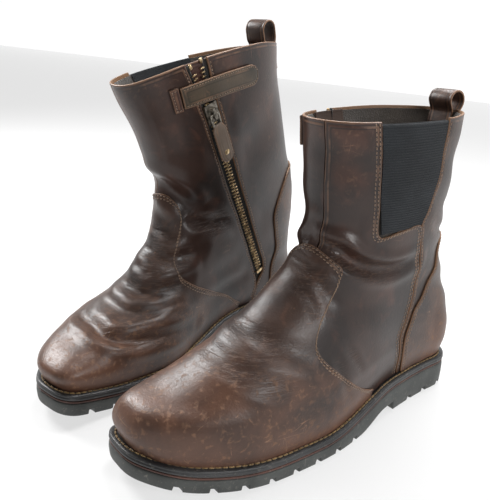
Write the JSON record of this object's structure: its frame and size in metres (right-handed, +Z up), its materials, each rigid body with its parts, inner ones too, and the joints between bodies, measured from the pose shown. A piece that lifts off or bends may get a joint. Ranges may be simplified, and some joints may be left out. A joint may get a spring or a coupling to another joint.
{
  "type": "pair of riding boots",
  "caption": "Ankle-high leather riding boots with a side zip, elastic gusset, closure strap, heel pull loop and lugged sole.",
  "frame": {"origin": "middle of the pair's bounding box at floor level", "axes": "+Z up, toes of the left boot towards -Y, +X towards the outer side of the left boot"},
  "size_m": [0.2762, 0.3322, 0.3125],
  "materials": {
    "sole_rubber": "matte grey, scuffed lugs",
    "sole_line": "thin reddish edge between welt and sole",
    "welt": "dark waxed edge with pale stitches",
    "board": "raw fibre board",
    "footbed": "dark padded cloth",
    "shank_steel": "sprung steel strip",
    "stiffener": "moulded stiffener",
    "brown_leather": "oiled pull-up leather, worn and creased",
    "smooth_leather": "smoother waxed leather",
    "elastic": "black elastic with fine cross ribs",
    "lining": "grey-brown brushed lining",
    "red_leather": "reddish guard leather",
    "zip_brass": "antique brass",
    "zip_tape": "black woven tape",
    "slider_metal": "worn dark nickel",
    "pull_leather": "grey-tan leather",
    "strap_leather": "olive-brown leather"
  },
  "bodies": {
    "left_boot": {"left_outsole": "sole_rubber", "left_midsole": "sole_line", "left_welt": "welt", "left_insole_board": "board", "left_footbed": "footbed", "left_shank": "shank_steel", "left_vamp": "brown_leather", "left_toe_puff": "stiffener", "left_quarter_lateral": "smooth_leather", "left_quarter_lateral_back": "smooth_leather", "left_elastic_gusset": "elastic", "left_quarter_medial_front": "smooth_leather", "left_quarter_medial_back": "smooth_leather", "left_heel_counter": "brown_leather", "left_heel_stiffener": "stiffener", "left_back_strip": "brown_leather", "left_lining": "lining", "left_zip_guard": "red_leather", "left_zip_teeth_front": "zip_brass", "left_zip_tape_front": "zip_tape", "left_zip_teeth_back": "zip_brass", "left_zip_tape_back": "zip_tape", "left_zip_bottom_stop": "zip_brass", "left_strap_anchor": "red_leather", "left_pull_loop": "brown_leather"},
    "right_boot": {"right_outsole": "sole_rubber", "right_midsole": "sole_line", "right_welt": "welt", "right_insole_board": "board", "right_footbed": "footbed", "right_shank": "shank_steel", "right_vamp": "brown_leather", "right_toe_puff": "stiffener", "right_quarter_lateral": "smooth_leather", "right_quarter_lateral_back": "smooth_leather", "right_elastic_gusset": "elastic", "right_quarter_medial_front": "smooth_leather", "right_quarter_medial_back": "smooth_leather", "right_heel_counter": "brown_leather", "right_heel_stiffener": "stiffener", "right_back_strip": "brown_leather", "right_lining": "lining", "right_zip_guard": "red_leather", "right_zip_teeth_front": "zip_brass", "right_zip_tape_front": "zip_tape", "right_zip_teeth_back": "zip_brass", "right_zip_tape_back": "zip_tape", "right_zip_bottom_stop": "zip_brass", "right_strap_anchor": "red_leather", "right_pull_loop": "brown_leather"},
    "left_zip_slider": {"left_zip_slider": "slider_metal"},
    "left_zip_pull": {"left_zip_pull_link": "slider_metal", "left_zip_pull_tab": "pull_leather", "left_pull_rivet": "zip_brass"},
    "left_strap": {"left_closure_strap": "strap_leather"},
    "right_zip_slider": {"right_zip_slider": "slider_metal"},
    "right_zip_pull": {"right_zip_pull_link": "slider_metal", "right_zip_pull_tab": "pull_leather", "right_pull_rivet": "zip_brass"},
    "right_strap": {"right_closure_strap": "strap_leather"}
  },
  "joints": [
    {"name": "right_boot_lift", "type": "slide", "parent": "left_boot", "child": "right_boot", "axis": [0, 0, 1], "range_m": [0, 0.35]},
    {"name": "left_zip_slide", "type": "slide", "parent": "left_boot", "child": "left_zip_slider", "axis": [0.0315, 0.2948, -0.955], "range_m": [0, 0.125]},
    {"name": "left_zip_pull_swing", "type": "hinge", "parent": "left_zip_slider", "child": "left_zip_pull", "pos_m": [0.04615, 0.05145, 0.21048], "axis": [-0.031, 0.9553, 0.2939], "range_deg": [0, 120]},
    {"name": "left_strap_open", "type": "hinge", "parent": "left_boot", "child": "left_strap", "pos_m": [0.05273, 0.01704, 0.23123], "axis": [-0.0468, -0.0863, 0.9952], "range_deg": [0, 150]},
    {"name": "right_zip_slide", "type": "slide", "parent": "right_boot", "child": "right_zip_slider", "axis": [-0.1146, 0.4413, -0.89], "range_m": [0, 0.158]},
    {"name": "right_zip_pull_swing", "type": "hinge", "parent": "right_zip_slider", "child": "right_zip_pull", "pos_m": [-0.03669, -0.0008, 0.23173], "axis": [0.0658, -0.8906, -0.45], "range_deg": [0, 120]},
    {"name": "right_strap_open", "type": "hinge", "parent": "right_boot", "child": "right_strap", "pos_m": [-0.03472, -0.03335, 0.24497], "axis": [-0.1144, 0.3877, -0.9147], "range_deg": [0, 150]}
  ]
}
